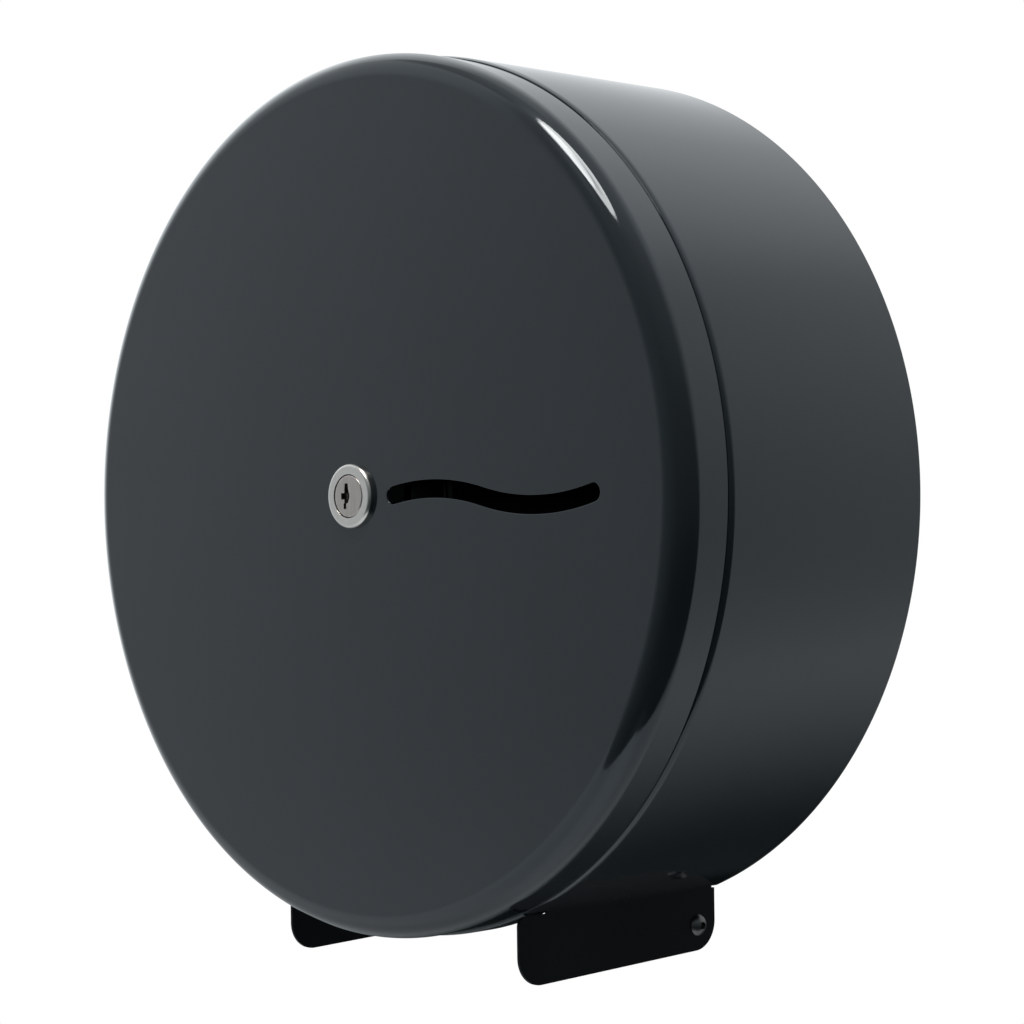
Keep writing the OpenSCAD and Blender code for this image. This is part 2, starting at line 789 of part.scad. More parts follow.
module lock_plug() {
    color(zinc) on_wall() difference() {
        union() {
            translate([0, 0, barrel_end_z]) disc(plug_d / 2, plug_face_z - plug_bevel_h - barrel_end_z);
            translate([0, 0, plug_face_z - plug_bevel_h])
                cylinder(h = plug_bevel_h, r1 = plug_d / 2, r2 = plug_d / 2 - plug_bevel);
            translate([0, 0, cam_rear_z + sheet_gap])
                linear_extrude(barrel_end_z - cam_rear_z - sheet_gap) tail_outline(0);
        }
        translate([0, 0, plug_face_z - key_slot_depth]) linear_extrude(key_slot_depth + cut) key_slot();
        on_wafers() translate([-wafer_w / 2 - wafer_gap, -plug_d, -wafer_t / 2 - wafer_gap])
            cube([wafer_w + 2 * wafer_gap, 2 * plug_d, wafer_t + 2 * wafer_gap]);
        translate([0, 0, cam_rear_z - cut]) disc(cam_screw_d / 2 + sheet_gap, cam_hole_depth + cut);
    }
}

module lock_wafers() {
    window_w = 1.55 * key_slot_w;
    color(nickel) on_wall() on_wafers() translate([0, 0, -wafer_t / 2]) linear_extrude(wafer_t)
        difference() {
            square([wafer_w, wafer_h], center = true);
            translate([key_slot_x + key_slot_w / 8, 0]) square([window_w, key_slot_h], center = true);
        }
}

module lock_cam() {
    half = cam_w / 2;
    bevel = cam_w / 6;
    color(zinc) on_wall() translate([0, 0, cam_rear_z]) linear_extrude(cam_t) difference() {
        union() {
            circle(tail_d);
            polygon([
                [-half, 0], [half, 0], [half, cam_reach - bevel], [half - bevel, cam_reach],
                [bevel - half, cam_reach], [-half, cam_reach - bevel]
            ]);
        }
        tail_outline(sheet_gap);
    }
}

module cam_washer() {
    color(zinc) on_wall() translate([0, 0, cam_washer_rear_z]) difference() {
        disc(cam_washer_d / 2, washer_t);
        translate([0, 0, -cut]) disc(cam_screw_d / 2 + sheet_gap, washer_t + 2 * cut);
    }
}

module cam_screw() {
    color(zinc) on_wall() {
        translate([0, 0, cam_washer_rear_z]) disc(cam_screw_d / 2, washer_t + cam_hole_depth - screw_tip_gap);
        translate([0, 0, cam_washer_rear_z]) mirror([0, 0, 1]) disc(cam_screw_head_d / 2, cam_screw_head_h);
    }
}

back_plate();
spindle_post();
spindle_rivets();
striker_cap();
hinge_screws();
hinge_washers();
hinge_nuts();
front_lid();
drum_shell();
tear_plate_left();
tear_plate_right();
hinge_bushes();
lock_barrel();
lock_nut();
lock_plug();
lock_wafers();
lock_cam();
cam_washer();
cam_screw();
roll_hub();
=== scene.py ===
"""Looks of a round wall dispenser for jumbo toilet rolls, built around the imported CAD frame."""

import json
import math

import bmesh
import bpy
import numpy as np
from mathutils import Matrix, Vector
from mathutils.geometry import delaunay_2d_cdt


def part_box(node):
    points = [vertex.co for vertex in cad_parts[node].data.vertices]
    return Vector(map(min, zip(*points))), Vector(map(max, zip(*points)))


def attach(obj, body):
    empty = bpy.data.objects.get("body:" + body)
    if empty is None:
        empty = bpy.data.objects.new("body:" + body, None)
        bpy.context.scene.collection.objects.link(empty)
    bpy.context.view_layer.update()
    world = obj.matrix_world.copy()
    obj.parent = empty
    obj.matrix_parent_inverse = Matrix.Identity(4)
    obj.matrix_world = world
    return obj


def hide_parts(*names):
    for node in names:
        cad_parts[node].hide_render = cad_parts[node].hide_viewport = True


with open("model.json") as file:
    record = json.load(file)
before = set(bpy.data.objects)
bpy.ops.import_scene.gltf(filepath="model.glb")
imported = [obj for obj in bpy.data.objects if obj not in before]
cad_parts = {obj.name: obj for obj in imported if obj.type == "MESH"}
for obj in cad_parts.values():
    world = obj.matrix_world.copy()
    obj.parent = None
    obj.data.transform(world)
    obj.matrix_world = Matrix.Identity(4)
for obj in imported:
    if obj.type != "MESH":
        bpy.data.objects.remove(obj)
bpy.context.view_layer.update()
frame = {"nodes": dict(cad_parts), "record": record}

MM = 0.001
lid_low, lid_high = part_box("front_lid")
drum_low, drum_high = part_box("drum_shell")


# ---------- sizes in millimetres: r is a radius, d the distance from the wall ----------

LID_R = lid_high.x / MM
COVER_DEPTH = -lid_low.y / MM
SKIRT_END = -lid_high.y / MM
LID_EDGE_R = 8.5
LID_T = 0.8
LID_HEM = 0.15
DRUM_R = min(abs(v) for v in (drum_low.x, drum_high.x, drum_high.z)) / MM
DRUM_REAR = -drum_high.y / MM
SEAM = -drum_low.y / MM
DRUM_T = 0.8
DRUM_LIP = 0.1
DRUM_CURVE_R = 5.5
DRUM_CURVE_LEN = 2.4
EXIT_HALF = 59.4
EXIT_END = SKIRT_END - 0.75

SLOT_W = 6.0
SLOT_R = 97.0
SLOT_CREST = (39.5, 1.8)
SLOT_TILT = 14.3
SLOT_TURNS = (25.5, 29.5)
SLOT_LAP = 0.3
SLOT_LIP = 0.25

LOCK_HEAD_R = 11.0
LOCK_HEAD_H = 2.1
LOCK_EDGE_R = 1.1
LOCK_BORE_R = 7.45
LOCK_BORE_EDGE_R = 0.08
BARREL_R = 9.5
BARREL_FLATS = 16.5
BARREL_GAP = 0.15
BARREL_END = 96.5
THREAD_PITCH = 1.0
THREAD_DEPTH = 0.35
THREAD_START = 0.8
THREAD_RUNOUT = 0.2
PLUG_R = 7.3
PLUG_EDGE_R = 0.7
PLUG_RECESS = 0.05
PLUG_CAP_T = 0.8
KEY_SLOT_H = 8.8
KEY_SLOT_W = 1.7
KEY_SLOT_X = -0.9
KEY_SLOT_FIT = 0.985

# how finely the curves are cut
COVER_STEPS = 480
EXIT_STEPS = 62
LID_EDGE_STEPS = (28, 16)
DRUM_CURVE_STEPS = 8
SLOT_STEPS = 30
SLOT_END_STEPS = 18
SLOT_LIP_ROWS = 4
LOCK_STEPS = 96
LOCK_EDGE_STEPS = 10
LOCK_BORE_EDGE_STEPS = 4
PLUG_EDGE_STEPS = 8
THREAD_ROWS_PER_TURN = 8
SAME_POINT = 1e-6


# ---------- finishes: a noise is scale per metre, detail and roughness, a bump strength and metres of depth ----------

GRAPHITE = (0.0062, 0.0084, 0.0104)
GLOSS_TINT = (0.814, 0.918, 1.0)
PAINT_IOR = 1.5
# where the paint's painted light at the front gives way to its painted shade at the wall, in metres
PAINTED_LIGHT_Y, PAINTED_SHADE_Y = -0.09, -0.03
PAINT_GRAIN, PAINT_CLOUD, PAINT_PEEL = (2600, 2, 0.6), (28, 3, 0.55), (420, 1.5, 0.45)
PAINT_TONES, PAINT_GLOSSES = (0.82, 1.18), (0.88, 1.12)
METAL_CLOUD, METAL_FINE, METAL_FINENESS = (4, 0.6), (2, 0.5), 9
METAL_GLOSSES = (1.2, 0.85)
PLASTIC_GRAIN = (3, 0.6)
PLASTIC_TONES, PLASTIC_GLOSSES = (0.88, 1.1), (0.9, 1.1)
PAINT_BUMP, METAL_BUMP, PLASTIC_BUMP = (0.06, 0.00012), (0.08, 0.00003), (0.15, 0.00004)
MOST_NOISE, WIDE_NOISE = (0.3, 0.7), (0.25, 0.75)
FIRST_SHARE, SECOND_SHARE = 0.6, 0.4
# the inner parts that take a lighter copy of the dark paint, painted light so they show in the shaded inside
INNER_NODES = ("back_plate", "spindle_post", "spindle_rivets", "striker_cap")


# ---------- studio: azimuth from +X towards +Y and elevation, both in degrees ----------

LAMP_COLOUR = (1.0, 0.925, 0.86)
DARK_COLOUR = (0.78, 0.95, 1.0)
PALE_COLOUR = (0.935, 0.975, 1.0)
PALE_SHADE = 0.6
GLOSS_LEVEL, DIFFUSE_LEVEL = 1.02, 0.7

# the round lamp as the paint mirrors it, and a dimmer spot in it: azimuth, elevation, full to, gone at, level
KEY_DISC = (-72, 65.5, 13.4, 14.6, 14)
KEY_SPOT = (-68, 64, 2, 8, 0.6)
# the lamp's bright middle as it lights the object
SUN_TURN, SUN_RISE, SUN_HALF, SUN_LEVEL, SUN_FAR = -87, 62, 9.5, 9, 1.5

# smooth steps: from, to, and the value at each end (0 and 1 where there is none)
PANEL_RISE = (-2.7, 25.3, 0, 0.29)
PANEL_TOP = (45.5, 52, 1, 0)
BAND_SINK = 0.15
BAND_FOOT = (45, 53, 0.83, 0.6)
BAND_HEAD = (54, 74, 0, 0.2)
BACK_LEFT_TURN = (-165, -135, 0, 0.1)
BACK_LEFT_RISE = (45, 55)
ROOM_FOOT = (-10, 30, 0.67, 0.87)
ROOM_MIDDLE = (28, 48, 0, 0.25)
ROOM_HEAD = (54, 70, 0, -0.2)
ROOM_TURN = (92, 128, 0.96, 1.15)
LEFT_TO_ROOM = (-110, -60)
DIM_FOOT = (-20, 15, 0.065, 0.208)
DIM_MIDDLE = (10, 50, 0, 0.277)
DIM_HEAD = (42, 75, 0, 0.45)
DIM_LEFT_TURN = (-115, -50, 0.15, 0)
DIM_LEFT_RISE = (-60, 0)
DIM_START = (0, 40, -154, -131)
DIM_START_WIDTH = (0, 40, 49.4, 18)
DIM_BOUND = (-15, 25, 42.3, 9.6)
DIM_END = 50
FLOOR_SOFT_EDGE = (-0.03, 0.03)
FLOOR_RISE = (-15, -4, 1, 0)
FLOOR_LEVEL = (-1.2, 1.2, 0.95, 0.75)

# the pale floor's front and side edges, in units of its depth below the object
FLOOR_FRONT_AT, FLOOR_FRONT_SLOPE = 1.414, 1.128
FLOOR_SIDE_AT, FLOOR_SIDE_SLOPE, FLOOR_SIDE_BEND = 0.835, 0.33, 9
FLOOR_LEAST_DEPTH = 0.01

# round spots: azimuth, elevation, full to, gone at, and the share left or the level added in the middle
DARK_SPOTS = ((111, -25, 8, 46, 0.03), (172, -45, 5, 39, 0.68), (129, -19, 8, 15, 0.1))
PALE_SPOTS = ((172, 12, 6, 34, 1.1), (155, 45, 3, 25, 0.35), (86, 51, 3, 22, 0.15), (-97, 45, 2, 9, 0.3),
              (-68, -66, 4, 32, 0.2))

# the floor that the camera sees, in metres: it turns white between two shares of its radius
FLOOR_R, FLOOR_Z, FLOOR_STEPS = 1.0, -1.2, 96
FLOOR_COLOUR = (0.88, 0.88, 0.88)
FLOOR_ROUGHNESS = 0.9
FLOOR_FADE = (0.35, 0.95)

# the camera's place in metres, its turns in radians, its sensor and lens in millimetres, its near end in metres
CAMERA_AT = (0.6713749, -0.6947122, -0.0116433)
CAMERA_YAW, CAMERA_PITCH, CAMERA_ROLL = 0.7989, 0.0063, -0.0131
CAMERA_SENSOR, CAMERA_LENS, CAMERA_NEAR = 36, 91.66, 0.05


# ---------- mesh helpers ----------

def link(name, data):
    """A new object in the scene."""
    made = bpy.data.objects.new(name, data)
    bpy.context.scene.collection.objects.link(made)
    return made


def new_piece(name, points, faces, body, slot, replaced=None, sharp=32):
    """A piece from points in millimetres (x, d, z), shaded smooth where its faces turn by less than sharp degrees."""
    mesh = bpy.data.meshes.new(name)
    mesh.from_pydata([(x * MM, -d * MM, z * MM) for x, d, z in points], [], faces)
    mesh.validate()
    shell = bmesh.new()
    shell.from_mesh(mesh)
    bmesh.ops.recalc_face_normals(shell, faces=shell.faces)
    shell.to_mesh(mesh)
    shell.free()
    mesh.update()
    mesh.polygons.foreach_set("use_smooth", [True] * len(mesh.polygons))
    mesh.set_sharp_from_angle(angle=math.radians(sharp))
    mesh.materials.append(materials[slot])
    piece = link(name, mesh)
    weighted = piece.modifiers.new("weighted_normals", "WEIGHTED_NORMAL")
    weighted.keep_sharp = True
    weighted.weight = 80
    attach(piece, body)
    if replaced:
        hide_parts(replaced)


def arc(cx, cy, r, start, end, steps):
    """Points on an arc from start to end, in degrees."""
    turns = [math.radians(start + (end - start) * i / steps) for i in range(steps + 1)]
    return [(cx + r * math.cos(a), cy + r * math.sin(a)) for a in turns]


def circle(r, steps):
    """Points around a circle, the first not repeated."""
    turns = [2 * math.pi * i / steps for i in range(steps)]
    return [(r * math.cos(a), r * math.sin(a)) for a in turns]


def lathe(profile, steps):
    """Points and faces of an open profile of (r, d) turned about the d axis, and the rings at its two ends."""
    count = len(profile)
    points = [(r * x, d, r * z) for x, z in circle(1, steps) for r, d in profile]
    faces = []
    for j in range(steps):
        here, there = j * count, (j + 1) % steps * count
        faces += [[here + k, there + k, there + k + 1, here + k + 1] for k in range(count - 1)]
    first = [j * count for j in range(steps)]
    return points, faces, first, [i + count - 1 for i in first]


def add_loop(points, loop, d):
    """Adds a flat loop's points at the distance d from the wall, and returns their numbers."""
    start = len(points)
    points += [(x, d, z) for x, z in loop]
    return list(range(start, len(points)))


def bridge(upper, lower):
    """Faces between two rings of as many points."""
    nexts = list(range(1, len(upper))) + [0]
    return [[upper[i], upper[n], lower[n], lower[i]] for i, n in enumerate(nexts)]


def inside(loop, x, z):
    """Even-odd test of a point against a closed loop."""
    crossed = False
    for (x0, z0), (x1, z1) in zip(loop, loop[1:] + loop[:1]):
        if (z0 > z) != (z1 > z) and x < (x1 - x0) * (z - z0) / (z1 - z0) + x0:
            crossed = not crossed
    return crossed


def fill(*rings):
    """Triangles of the flat region inside the first ring and outside the others. A ring is its point numbers and its
    loop."""
    numbers = [i for row, _ in rings for i in row]
    outer, *holes = [loop for _, loop in rings]
    flat, edges = [], []
    for loop in (outer, *holes):
        start = len(flat)
        flat += [Vector(p) for p in loop]
        edges += [(start + i, start + (i + 1) % len(loop)) for i in range(len(loop))]
    places, _, triangles, origins = delaunay_2d_cdt(flat, edges, [], 0, SAME_POINT)[:4]
    faces = []
    for triangle in triangles:
        x = sum(places[i].x for i in triangle) / 3
        z = sum(places[i].y for i in triangle) / 3
        if inside(outer, x, z) and not any(inside(hole, x, z) for hole in holes):
            faces.append([numbers[origins[i][0]] for i in triangle])
    return faces


# ---------- the lid ----------

def slot_arm(turn, grow):
    """Half of the wavy slot's outline, grown by grow, in the frame of the wave's middle."""
    half = SLOT_W / 2 + grow
    a = math.radians(90 + turn)
    end_x = SLOT_R * math.cos(a) - SLOT_LAP * math.sin(a)
    end_z = SLOT_R * math.sin(a) - SLOT_R + SLOT_LAP * math.cos(a)
    upper = arc(0, -SLOT_R, SLOT_R + half, 90, 90 + turn, SLOT_STEPS)[:-1]
    end = arc(end_x, end_z, half, 90 + turn, 270 + turn, SLOT_END_STEPS)
    lower = arc(0, -SLOT_R, SLOT_R - half, 90 + turn, 90, SLOT_STEPS)[1:-1]
    return upper + end + lower


def slot_loop(grow):
    """The wavy slot's closed outline in the lid's face, grown by grow."""
    tilt = math.radians(SLOT_TILT)
    middle_x = SLOT_CREST[0] + SLOT_R * math.sin(tilt)
    middle_z = SLOT_CREST[1] - SLOT_R + SLOT_R * math.cos(tilt)
    wave = slot_arm(SLOT_TURNS[0], grow) + [(-x, -z) for x, z in slot_arm(SLOT_TURNS[1], grow)]
    c, s = math.cos(-tilt), math.sin(-tilt)
    return [(middle_x + c * x - s * z, middle_z + s * x + c * z) for x, z in wave]


def barrel_loop(grow):
    """The lock barrel's outline, round with two flats, grown by grow."""
    half = BARREL_FLATS / 2 + grow
    return [(max(-half, min(half, x)), z) for x, z in circle(BARREL_R + grow, LOCK_STEPS)]


def make_lid():
    """The drawn lid with its rounded edge and skirt, and the holes for the lock and the window slot."""
    flat_r, bend = LID_R - LID_EDGE_R, COVER_DEPTH - LID_EDGE_R
    profile = arc(flat_r, bend, LID_EDGE_R, 90, 0, LID_EDGE_STEPS[0])
    profile += [(LID_R, SEAM), (LID_R, SKIRT_END + LID_HEM), (LID_R - LID_HEM, SKIRT_END)]
    profile += [(LID_R - LID_T, SKIRT_END), (LID_R - LID_T, bend)]
    profile += arc(flat_r, bend, LID_EDGE_R - LID_T, 0, 90, LID_EDGE_STEPS[1])[1:]
    points, faces, front_ring, rear_ring = lathe(profile, COVER_STEPS)
    fronts = [(front_ring, circle(flat_r, COVER_STEPS))]
    rears = [(rear_ring, circle(flat_r, COVER_STEPS))]

    lip = [(SLOT_LIP * (1 - math.sin(a)), SLOT_LIP * (1 - math.cos(a)))
           for a in np.linspace(0, math.pi / 2, SLOT_LIP_ROWS)]
    window = [(slot_loop(grow), sunk) for grow, sunk in lip + [(0, LID_T)]]
    lock_hole = [(barrel_loop(BARREL_GAP), sunk) for sunk in (0, LID_T)]
    for hole in (window, lock_hole):
        rows = [add_loop(points, loop, COVER_DEPTH - sunk) for loop, sunk in hole]
        for upper, lower in zip(rows, rows[1:]):
            faces += bridge(lower, upper)
        fronts.append((rows[0], hole[0][0]))
        rears.append((rows[-1], hole[-1][0]))
    faces += fill(*fronts) + fill(*rears)
    new_piece("lid_pan", points, faces, "cover", "paint_graphite", "front_lid")


# ---------- the drum ----------

def drum_turns(r):
    """Angles in degrees across the paper's opening at the radius r, and then around the rest of the drum."""
    half = math.degrees(math.asin(EXIT_HALF / r))
    rest = COVER_STEPS - EXIT_STEPS
    across = [half * (2 * j / EXIT_STEPS - 1) for j in range(EXIT_STEPS + 1)]
    return across + [half + (360 - 2 * half) * j / rest for j in range(1, rest)]


def make_drum():
    """The rolled drum, curved in at the seam and open at the bottom where the paper comes out."""
    inner_r = DRUM_R - DRUM_T
    reach = math.degrees(math.asin((DRUM_CURVE_LEN - DRUM_LIP) / DRUM_CURVE_R))
    profile = [(DRUM_R, DRUM_REAR), (DRUM_R, EXIT_END)]
    profile += arc(DRUM_R - DRUM_CURVE_R, SEAM - DRUM_CURVE_LEN, DRUM_CURVE_R, 0, reach, DRUM_CURVE_STEPS)
    profile += [(profile[-1][0] - DRUM_LIP, SEAM), (inner_r, SEAM), (inner_r, EXIT_END), (inner_r, DRUM_REAR)]
    count = len(profile)
    points, faces = [], []
    for out_turn, in_turn in zip(drum_turns(DRUM_R), drum_turns(inner_r)):
        for r, d in profile:
            a = math.radians((out_turn if r > inner_r + SAME_POINT else in_turn) - 90)
            points.append((r * math.cos(a), d, r * math.sin(a)))

    # across the opening the drum stops at EXIT_END: the faces behind it, outside, inside and at the rear, are left out
    low_in, rear_in = count - 2, count - 1
    for j in range(COVER_STEPS):
        here, there = j * count, (j + 1) % COVER_STEPS * count
        in_exit = j < EXIT_STEPS
        for k in range(count):
            if in_exit and k in (0, low_in, rear_in):
                continue
            n = (k + 1) % count
            faces.append([here + k, here + n, there + n, there + k])
        if in_exit:
            faces.append([here + 1, there + 1, there + low_in, here + low_in])
    last = EXIT_STEPS * count
    faces.append([0, 1, low_in, rear_in])
    faces.append([last + rear_in, last + low_in, last + 1, last])
    new_piece("drum_band", points, faces, "cover", "paint_graphite", "drum_shell")


# ---------- the lock ----------

def thread_loop(level):
    """The barrel's outline with its thread, cut flat on two sides, at level behind the lid's face."""
    half = BARREL_FLATS / 2
    out = []
    for x, z in circle(1, LOCK_STEPS):
        turn = math.atan2(z, x) / (2 * math.pi) + level / THREAD_PITCH
        r = BARREL_R - THREAD_DEPTH * abs(2 * (turn % 1) - 1)
        out.append((max(-half, min(half, r * x)), r * z))
    return out


def make_lock_body():
    """Round head with a rolled edge, and a threaded barrel with two flats, as one closed shell."""
    front = COVER_DEPTH + LOCK_HEAD_H
    bore_edge = LOCK_BORE_EDGE_R
    profile = [(LOCK_HEAD_R, COVER_DEPTH)]
    profile += arc(LOCK_HEAD_R - LOCK_EDGE_R, front - LOCK_EDGE_R, LOCK_EDGE_R, 0, 90, LOCK_EDGE_STEPS)
    profile += arc(LOCK_BORE_R + bore_edge, front - bore_edge, bore_edge, 90, 180, LOCK_BORE_EDGE_STEPS)
    profile += [(LOCK_BORE_R, BARREL_END)]
    points, faces, head_ring, bore_ring = lathe(profile, LOCK_STEPS)

    length = COVER_DEPTH - BARREL_END
    threaded = list(np.arange(THREAD_START, length - THREAD_RUNOUT, THREAD_PITCH / THREAD_ROWS_PER_TURN)[1:])
    plain = [(level, barrel_loop(0)) for level in (0, THREAD_START)]
    loops = plain + [(level, thread_loop(level)) for level in threaded + [length]]
    rows = [add_loop(points, loop, COVER_DEPTH - level) for level, loop in loops]
    for upper, lower in zip(rows, rows[1:]):
        faces += bridge(upper, lower)
    faces += fill((head_ring, circle(LOCK_HEAD_R, LOCK_STEPS)), (rows[0], loops[0][1]))
    faces += fill((rows[-1], loops[-1][1]), (bore_ring, circle(LOCK_BORE_R, LOCK_STEPS)))
    new_piece("lock_body", points, faces, "cover", "nickel", "lock_barrel", sharp=40)


def key_slot_loop():
    """The key's outline in the plug, a hair smaller than the slot in the plug itself."""
    h, w = KEY_SLOT_H / 2, KEY_SLOT_W
    left, foot = -0.65 * w, -0.1 * w
    loop = [(-w / 2, h), (0.4 * w, h), (0.55 * w, h / 2), (0.9 * w, h / 8), (0.9 * w, -h / 8), (0.45 * w, -h / 2),
            (foot, -0.6 * h), (foot, -h), (-0.9 * w, -h), (-0.9 * w, -0.6 * h), (left, -h / 2), (left, -h / 4),
            (left - w, -h / 4), (left - w, h / 4), (left, h / 4), (left, h / 2)]
    return [(KEY_SLOT_X + x * KEY_SLOT_FIT, z * KEY_SLOT_FIT) for x, z in loop]


def make_plug_face():
    """The rolled front edge and the face of the lock's plug, a cap over the plain bevel, open at the key slot."""
    front = COVER_DEPTH + LOCK_HEAD_H - PLUG_RECESS
    back = front - PLUG_CAP_T
    edge = arc(PLUG_R - PLUG_EDGE_R, front - PLUG_EDGE_R, PLUG_EDGE_R, 0, 90, PLUG_EDGE_STEPS)
    points, faces, back_ring, front_ring = lathe([(PLUG_R, back)] + edge, LOCK_STEPS)
    hole = key_slot_loop()
    front_row, back_row = add_loop(points, hole, front), add_loop(points, hole, back)
    faces += bridge(front_row, back_row)
    faces += fill((front_ring, circle(PLUG_R - PLUG_EDGE_R, LOCK_STEPS)), (front_row, hole))
    faces += fill((back_ring, circle(PLUG_R, LOCK_STEPS)), (back_row, hole))
    new_piece("plug_face", points, faces, "lock", "zinc_plug", sharp=40)


# ---------- materials ----------

class Nodes:
    """Short forms for building one node tree."""

    def __init__(self, tree):
        self.tree = tree

    def add(self, kind, **values):
        node = self.tree.nodes.new(kind)
        for name, value in values.items():
            setattr(node, name, value)
        return node

    def join(self, source, target):
        self.tree.links.new(source, target)

    def put(self, socket, value):
        """A number stays on the socket, and an output is joined to it."""
        if isinstance(value, (int, float)):
            socket.default_value = value
        else:
            self.join(value, socket)

    def math(self, operation, a, b=0.0):
        node = self.add("ShaderNodeMath", operation=operation)
        self.put(node.inputs[0], a)
        self.put(node.inputs[1], b)
        return node.outputs[0]

    def total(self, *parts):
        out = parts[0]
        for part in parts[1:]:
            out = self.math("ADD", out, part)
        return out

    def times(self, a, b):
        return self.math("MULTIPLY", a, b)

    def smooth(self, value, low, high, out_low=0.0, out_high=1.0):
        """A smooth step of value from low to high."""
        node = self.add("ShaderNodeMapRange", interpolation_type="SMOOTHSTEP")
        self.put(node.inputs["Value"], value)
        node.inputs["From Min"].default_value = low
        node.inputs["From Max"].default_value = high
        node.inputs["To Min"].default_value = out_low
        node.inputs["To Max"].default_value = out_high
        return node.outputs["Result"]

    def vector(self, operation, source, fixed=None):
        """A vector operation on a source, with its second vector fixed where one is given."""
        node = self.add("ShaderNodeVectorMath", operation=operation)
        self.join(source, node.inputs[0])
        if fixed:
            node.inputs[1].default_value = fixed
        return node

    def split(self, source):
        node = self.add("ShaderNodeSeparateXYZ")
        self.join(source, node.inputs[0])
        return node.outputs

    def noise(self, vector, scale, detail, roughness):
        node = self.add("ShaderNodeTexNoise")
        self.join(vector, node.inputs["Vector"])
        node.inputs["Scale"].default_value = scale
        node.inputs["Detail"].default_value = detail
        node.inputs["Roughness"].default_value = roughness
        return node.outputs["Fac"]

    def ramp(self, value, *stops):
        """A colour ramp of two stops, each a place and a colour."""
        node = self.add("ShaderNodeValToRGB")
        self.join(value, node.inputs["Fac"])
        for element, (place, colour) in zip(node.color_ramp.elements, stops):
            element.position = place
            element.color = (*colour, 1)
        return node.outputs["Color"]

    def bump(self, height, strength, distance):
        node = self.add("ShaderNodeBump")
        node.inputs["Strength"].default_value = strength
        node.inputs["Distance"].default_value = distance
        self.join(height, node.inputs["Height"])
        return node.outputs["Normal"]

    def mix(self, share, first, second):
        """The first shader where share is 0, and the second where it is 1."""
        node = self.add("ShaderNodeMixShader")
        for socket, source in zip(node.inputs, (share, first, second)):
            self.join(source, socket)
        return node.outputs[0]


def new_material(name):
    """A material, its nodes, the sockets of its shader, and the place on the object in metres."""
    material = bpy.data.materials.new(name)
    material.use_nodes = True
    nodes = Nodes(material.node_tree)
    shader = material.node_tree.nodes["Principled BSDF"]
    place = nodes.add("ShaderNodeTexCoord").outputs["Object"]
    return material, nodes, shader, place


def shades(colour, darker, lighter):
    """The two stops of a ramp from a colour's darker to its lighter shade, where a noise has most of its values."""
    return [(place, tuple(min(1, c * share) for c in colour)) for place, share in zip(MOST_NOISE, (darker, lighter))]


def blended(nodes, first, second):
    """Two noises in one."""
    return nodes.total(nodes.times(first, FIRST_SHARE), nodes.times(second, SECOND_SHARE))


def set_roughness(nodes, shader, noise, span, roughness, glosses):
    """Roughness that follows a noise over its span, between two shares of the material's own."""
    nodes.join(nodes.smooth(noise, *span, *(roughness * share for share in glosses)), shader.inputs["Roughness"])


def paint(name, rear, front, level, roughness):
    """Powder coat: from one colour at the wall to one at the front, painted shade at the wall and painted light at the
    front where the two differ, a fine grain in it and a slight orange peel in the gloss."""
    material, nodes, shader, place = new_material(name)
    grain, cloud, peel = (nodes.noise(place, *noise) for noise in (PAINT_GRAIN, PAINT_CLOUD, PAINT_PEEL))
    # painted light towards the front and painted shade towards the wall, where the two colours differ
    lit_front_share = nodes.smooth(nodes.split(place)["Y"], PAINTED_LIGHT_Y, PAINTED_SHADE_Y, 1, 0)
    tone = nodes.vector("SCALE", nodes.ramp(lit_front_share, (0, rear), (1, front)))
    nodes.join(nodes.smooth(blended(nodes, grain, cloud), *MOST_NOISE, *PAINT_TONES), tone.inputs["Scale"])
    nodes.join(tone.outputs[0], shader.inputs["Base Color"])
    set_roughness(nodes, shader, cloud, WIDE_NOISE, roughness, PAINT_GLOSSES)
    nodes.join(nodes.bump(peel, *PAINT_BUMP), shader.inputs["Normal"])
    shader.inputs["IOR"].default_value = PAINT_IOR
    shader.inputs["Specular IOR Level"].default_value = level
    shader.inputs["Specular Tint"].default_value = (*GLOSS_TINT, 1)
    return material


def metal(name, colour, roughness, grain_scale, tone=0.12, brushed=1.0):
    """Plated or cast metal with fine cloudy wear in tone and gloss, drawn out along Z where brushed is under 1."""
    material, nodes, shader, place = new_material(name)
    drawn = nodes.add("ShaderNodeMapping")
    nodes.join(place, drawn.inputs["Vector"])
    drawn.inputs["Scale"].default_value = (1, 1, brushed)
    cloud = nodes.noise(drawn.outputs["Vector"], grain_scale, *METAL_CLOUD)
    fine = nodes.noise(drawn.outputs["Vector"], grain_scale * METAL_FINENESS, *METAL_FINE)
    mixed = blended(nodes, cloud, fine)
    nodes.join(nodes.ramp(mixed, *shades(colour, 1 - tone, 1 + tone)), shader.inputs["Base Color"])
    set_roughness(nodes, shader, mixed, MOST_NOISE, roughness, METAL_GLOSSES)
    nodes.join(nodes.bump(fine, *METAL_BUMP), shader.inputs["Normal"])
    shader.inputs["Metallic"].default_value = 1.0
    return material


def plastic(name, colour, roughness, grain_scale):
    """Moulded plastic with a fine spark-eroded grain."""
    material, nodes, shader, place = new_material(name)
    grain = nodes.noise(place, grain_scale, *PLASTIC_GRAIN)
    nodes.join(nodes.ramp(grain, *shades(colour, *PLASTIC_TONES)), shader.inputs["Base Color"])
    set_roughness(nodes, shader, grain, MOST_NOISE, roughness, PLASTIC_GLOSSES)
    nodes.join(nodes.bump(grain, *PLASTIC_BUMP), shader.inputs["Normal"])
    return material


